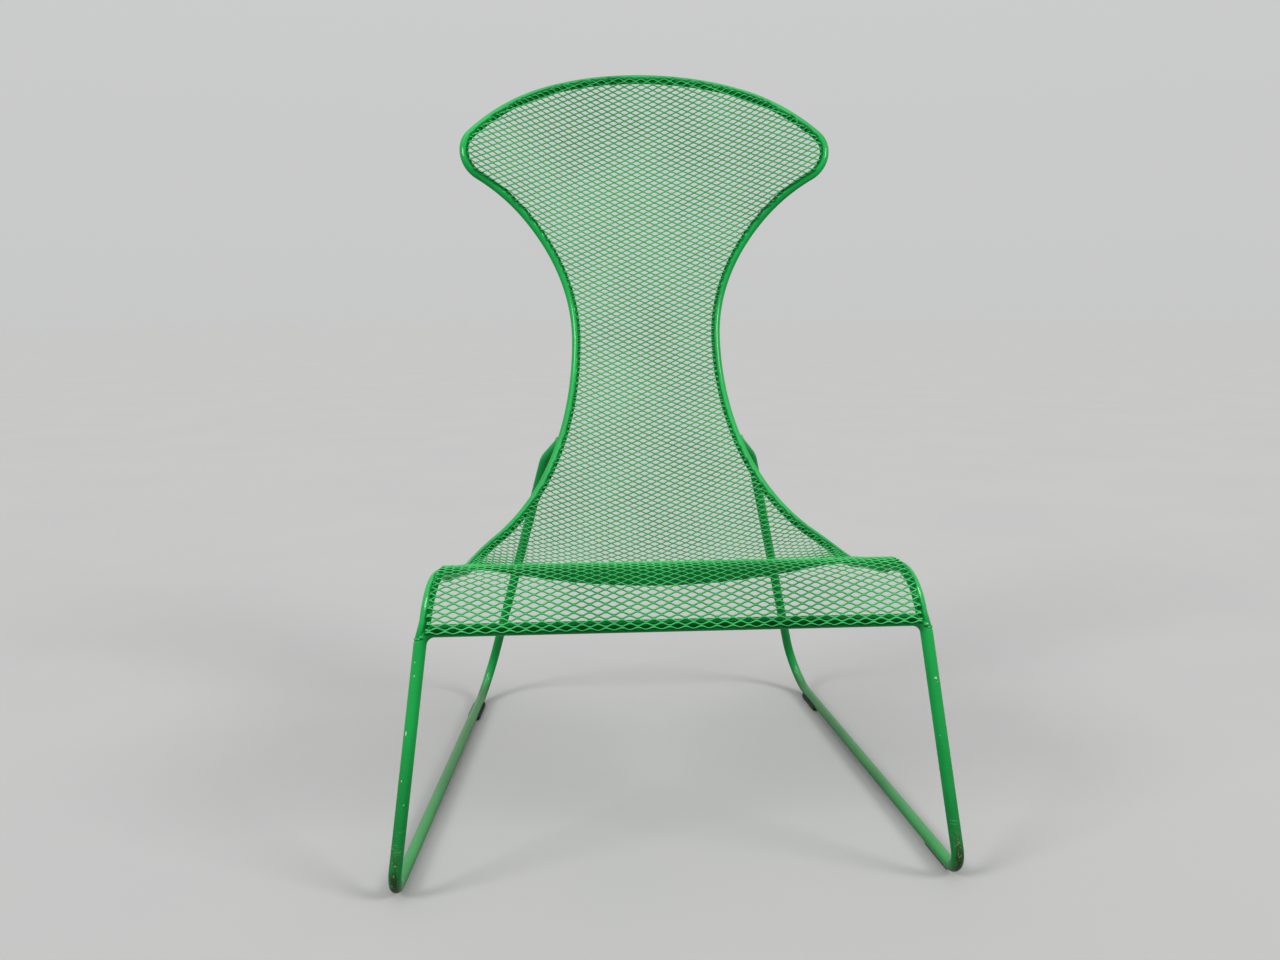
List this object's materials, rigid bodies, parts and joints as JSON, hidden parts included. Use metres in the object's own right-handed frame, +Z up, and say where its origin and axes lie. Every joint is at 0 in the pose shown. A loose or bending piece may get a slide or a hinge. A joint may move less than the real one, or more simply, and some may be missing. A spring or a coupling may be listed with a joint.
{
  "type": "expanded metal lounge chair",
  "caption": "Low outdoor lounge chair: a hollowed seat and back of diamond mesh on a bent rod rim, carried by one bent rod base on floor glides.",
  "frame": {"origin": "centre of the footprint's bounding box, on the floor", "axes": "+X across the chair to its right in the front view, -Y towards the front, +Z up"},
  "size_m": [0.5854, 0.5972, 0.9126],
  "materials": {
    "base_rod": "glossy green coating, chipped and rubbed to rust at the front feet",
    "rim_rod": "glossy green coating",
    "mesh_shell": "glossy green coating on expanded steel",
    "glide": "matt black",
    "weld": "coated weld bead"
  },
  "bodies": {
    "root": {"base_rod": "base_rod", "rim_rod": "rim_rod", "mesh_shell": "mesh_shell", "glide_front_left": "glide", "glide_front_right": "glide", "glide_rear_left": "glide", "glide_rear_right": "glide", "weld_front_left": "weld", "weld_front_right": "weld", "weld_hook_left": "weld", "weld_hook_right": "weld"}
  },
  "joints": []
}
